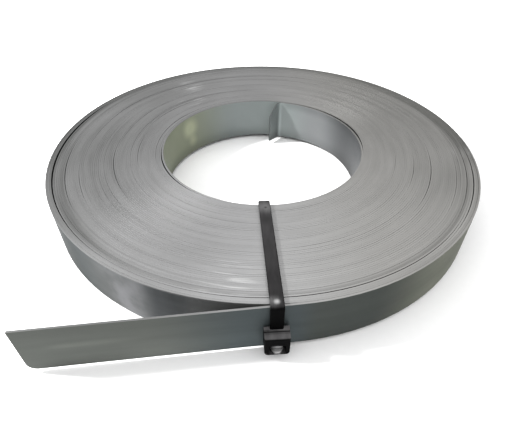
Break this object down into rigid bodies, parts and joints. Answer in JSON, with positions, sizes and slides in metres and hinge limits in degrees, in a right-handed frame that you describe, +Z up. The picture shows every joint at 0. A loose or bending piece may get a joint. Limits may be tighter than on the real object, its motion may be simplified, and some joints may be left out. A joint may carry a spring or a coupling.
{
  "type": "steel strapping coil",
  "caption": "Flat coil of bare steel strip for strapping, banding and bracing, with a loose outer end and a cable tie round the turns.",
  "frame": {"origin": "the middle of the coil, on its axis and half-way up", "axes": "+Z up along the coil's axis; the cable tie crosses the turns on the -Y side, and the outer end runs off from there towards -X"},
  "size_m": [0.1926, 0.203, 0.0232],
  "materials": {
    "strip_steel": "galvanised strip, dull and cloudy, with bright cut edges",
    "tie_nylon": "moulded black nylon, satin"
  },
  "bodies": {
    "root": {"strap_coil": "strip_steel", "cable_tie": "tie_nylon"}
  },
  "joints": []
}
